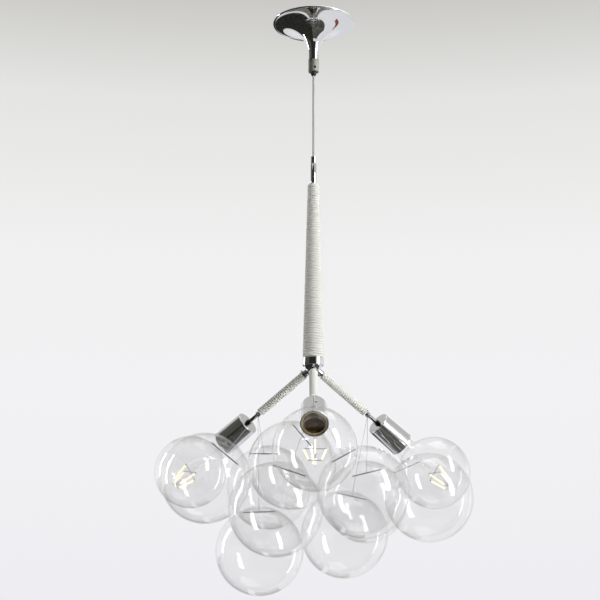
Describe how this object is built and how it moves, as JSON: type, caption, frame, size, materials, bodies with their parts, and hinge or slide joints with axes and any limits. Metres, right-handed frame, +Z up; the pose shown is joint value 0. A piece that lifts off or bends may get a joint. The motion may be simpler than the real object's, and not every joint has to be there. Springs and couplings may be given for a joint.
{
  "type": "cluster pendant light",
  "caption": "Ceiling pendant with a trumpet canopy, a tapered stem wound with cord, sloping arms with round clear lamps, and clear glass globes hung close together on thin lines.",
  "frame": {"origin": "centre of the ceiling bar's top face, in the plane of the ceiling, on the stem's axis", "axes": "+Z up along the stem, -Y along the front arm, +X to the right seen from the front"},
  "size_m": [0.5496, 0.5641, 0.9967],
  "materials": {
    "chrome": "polished",
    "satin_nickel": "satin",
    "zinc": "zinc plated",
    "brass": "plain",
    "terminal": "moulded",
    "black_plastic": "moulded",
    "nylon": "moulded",
    "cord": "braided, wound close",
    "former": "turned",
    "ceramic": "unglazed",
    "lamp_glass": "clear",
    "lamp_metal": "pressed",
    "filament": "warm filaments on a clear mount",
    "globe_glass": "clear, hand blown",
    "hanger": "bright wire bar on a clear line"
  },
  "bodies": {
    "root": {"ceiling_bar": "zinc", "earth_screw": "brass", "bar_nut": "zinc", "hanging_tube": "zinc", "terminal_block": "terminal", "suspension_cord": "cord", "cord_gland": "black_plastic", "cord_ferrule": "chrome", "ball_stud": "zinc"},
    "canopy": {"canopy_shell": "chrome", "canopy_collar": "satin_nickel", "collar_screw": "zinc"},
    "swivel": {"swivel_liner": "nylon"},
    "pendant": {"swivel_tube": "chrome", "stem_tube": "zinc", "stem_core": "former", "stem_wrap": "cord", "hub": "chrome", "hub_cap": "chrome", "arm_tube_left": "chrome", "arm_tube_right": "chrome", "arm_tube_front": "chrome", "arm_wrap_left": "cord", "arm_wrap_right": "cord", "arm_wrap_front": "cord", "socket_cup_left": "chrome", "socket_cup_right": "chrome", "socket_cup_front": "chrome", "lampholders": "ceramic", "holder_shells": "brass", "lock_nuts": "zinc", "cup_screws": "zinc", "hanger_front_inner": "hanger", "hanger_right_low": "hanger"},
    "lamp_left": {"lamp_bulb_left": "lamp_glass", "lamp_cap_left": "lamp_metal", "lamp_filaments_left": "filament"},
    "lamp_right": {"lamp_bulb_right": "lamp_glass", "lamp_cap_right": "lamp_metal", "lamp_filaments_right": "filament"},
    "lamp_front": {"lamp_bulb_front": "lamp_glass", "lamp_cap_front": "lamp_metal", "lamp_filaments_front": "filament"},
    "line_left_low": {"hanger_left_low": "hanger"},
    "bubble_left_low": {"globe_left_low": "globe_glass"},
    "line_left_rear": {"hanger_left_rear": "hanger"},
    "bubble_left_rear": {"globe_left_rear": "globe_glass"},
    "line_left_fore": {"hanger_left_fore": "hanger"},
    "bubble_left_fore": {"globe_left_fore": "globe_glass"},
    "line_front_low": {"hanger_front_low": "hanger"},
    "bubble_front_low": {"globe_front_low": "globe_glass"},
    "bubble_front_inner": {"globe_front_inner": "globe_glass"},
    "line_front_side": {"hanger_front_side": "hanger"},
    "bubble_front_side": {"globe_front_side": "globe_glass"},
    "bubble_right_low": {"globe_right_low": "globe_glass"},
    "line_right_rear": {"hanger_right_rear": "hanger"},
    "bubble_right_rear": {"globe_right_rear": "globe_glass"},
    "line_right_fore": {"hanger_right_fore": "hanger"},
    "bubble_right_fore": {"globe_right_fore": "globe_glass"}
  },
  "joints": [
    {"name": "canopy_drop", "type": "slide", "parent": "root", "child": "canopy", "axis": [0, 0, -1], "range_m": [0, 0.145]},
    {"name": "stem_spin", "type": "hinge", "parent": "root", "child": "swivel", "pos_m": [0, 0, -0.2691], "axis": [0, 0, 1], "continuous": true},
    {"name": "stem_swing", "type": "hinge", "parent": "swivel", "child": "pendant", "pos_m": [0, 0, -0.2691], "axis": [1, 0, 0], "range_deg": [-10, 10]},
    {"name": "lamp_left_turn", "type": "hinge", "parent": "pendant", "child": "lamp_left", "pos_m": [-0.2123, 0.12257, -0.78631], "axis": [-0.7197, 0.4155, -0.5563], "continuous": true},
    {"name": "lamp_right_turn", "type": "hinge", "parent": "pendant", "child": "lamp_right", "pos_m": [0.2123, 0.12257, -0.78631], "axis": [0.7197, 0.4155, -0.5563], "continuous": true},
    {"name": "lamp_front_turn", "type": "hinge", "parent": "pendant", "child": "lamp_front", "pos_m": [0, -0.24514, -0.78631], "axis": [0, -0.831, -0.5563], "continuous": true},
    {"name": "swing_left_low", "type": "hinge", "parent": "pendant", "child": "line_left_low", "pos_m": [-0.09355, 0.05401, -0.69452], "axis": [-0.962, 0.2729, 0], "range_deg": [0, 6]},
    {"name": "spin_left_low", "type": "hinge", "parent": "line_left_low", "child": "bubble_left_low", "pos_m": [-0.088, 0.032, -0.9242], "axis": [-0.0241, 0.0954, 0.9951], "continuous": true},
    {"name": "swing_left_rear", "type": "hinge", "parent": "pendant", "child": "line_left_rear", "pos_m": [-0.09355, 0.05401, -0.69452], "axis": [0.9708, -0.2401, 0], "range_deg": [0, 15]},
    {"name": "spin_left_rear", "type": "hinge", "parent": "line_left_rear", "child": "bubble_left_rear", "pos_m": [-0.076, 0.125, -0.8122], "axis": [-0.1267, -0.5123, 0.8494], "continuous": true},
    {"name": "swing_left_fore", "type": "hinge", "parent": "pendant", "child": "line_left_fore", "pos_m": [-0.09355, 0.05401, -0.69452], "axis": [-0.7984, 0.6021, 0], "range_deg": [0, 15]},
    {"name": "spin_left_fore", "type": "hinge", "parent": "line_left_fore", "child": "bubble_left_fore", "pos_m": [-0.1735, -0.052, -0.8122], "axis": [0.4506, 0.5975, 0.6633], "continuous": true},
    {"name": "swing_front_low", "type": "hinge", "parent": "pendant", "child": "line_front_low", "pos_m": [0, -0.10803, -0.69452], "axis": [-0.6581, 0.753, 0], "range_deg": [0, 9]},
    {"name": "spin_front_low", "type": "hinge", "parent": "line_front_low", "child": "bubble_front_low", "pos_m": [-0.059, -0.137, -0.8672], "axis": [0.3193, 0.1568, 0.9346], "continuous": true},
    {"name": "spin_front_inner", "type": "hinge", "parent": "pendant", "child": "bubble_front_inner", "pos_m": [-0.035, -0.013, -0.7872], "axis": [0.255, -0.6922, 0.6751], "continuous": true},
    {"name": "swing_front_side", "type": "hinge", "parent": "pendant", "child": "line_front_side", "pos_m": [0, -0.10803, -0.69452], "axis": [-0.7797, -0.6261, 0], "range_deg": [0, 15]},
    {"name": "spin_front_side", "type": "hinge", "parent": "line_front_side", "child": "bubble_front_side", "pos_m": [0.078, -0.096, -0.8372], "axis": [-0.4784, -0.0738, 0.8751], "continuous": true},
    {"name": "spin_right_low", "type": "hinge", "parent": "pendant", "child": "bubble_right_low", "pos_m": [0.053, 0.059, -0.8952], "axis": [0.198, -0.0243, 0.9799], "continuous": true},
    {"name": "swing_right_rear", "type": "hinge", "parent": "pendant", "child": "line_right_rear", "pos_m": [0.09355, 0.05401, -0.69452], "axis": [0.9998, -0.0188, 0], "range_deg": [0, 15]},
    {"name": "spin_right_rear", "type": "hinge", "parent": "line_right_rear", "child": "bubble_right_rear", "pos_m": [0.096, 0.184, -0.8322], "axis": [-0.0129, -0.6864, 0.7271], "continuous": true},
    {"name": "swing_right_fore", "type": "hinge", "parent": "pendant", "child": "line_right_fore", "pos_m": [0.09355, 0.05401, -0.69452], "axis": [-0.5022, -0.8647, 0], "range_deg": [0, 15]},
    {"name": "spin_right_fore", "type": "hinge", "parent": "line_right_fore", "child": "bubble_right_fore", "pos_m": [0.19, -0.002, -0.8382], "axis": [-0.5302, 0.308, 0.7899], "continuous": true}
  ]
}
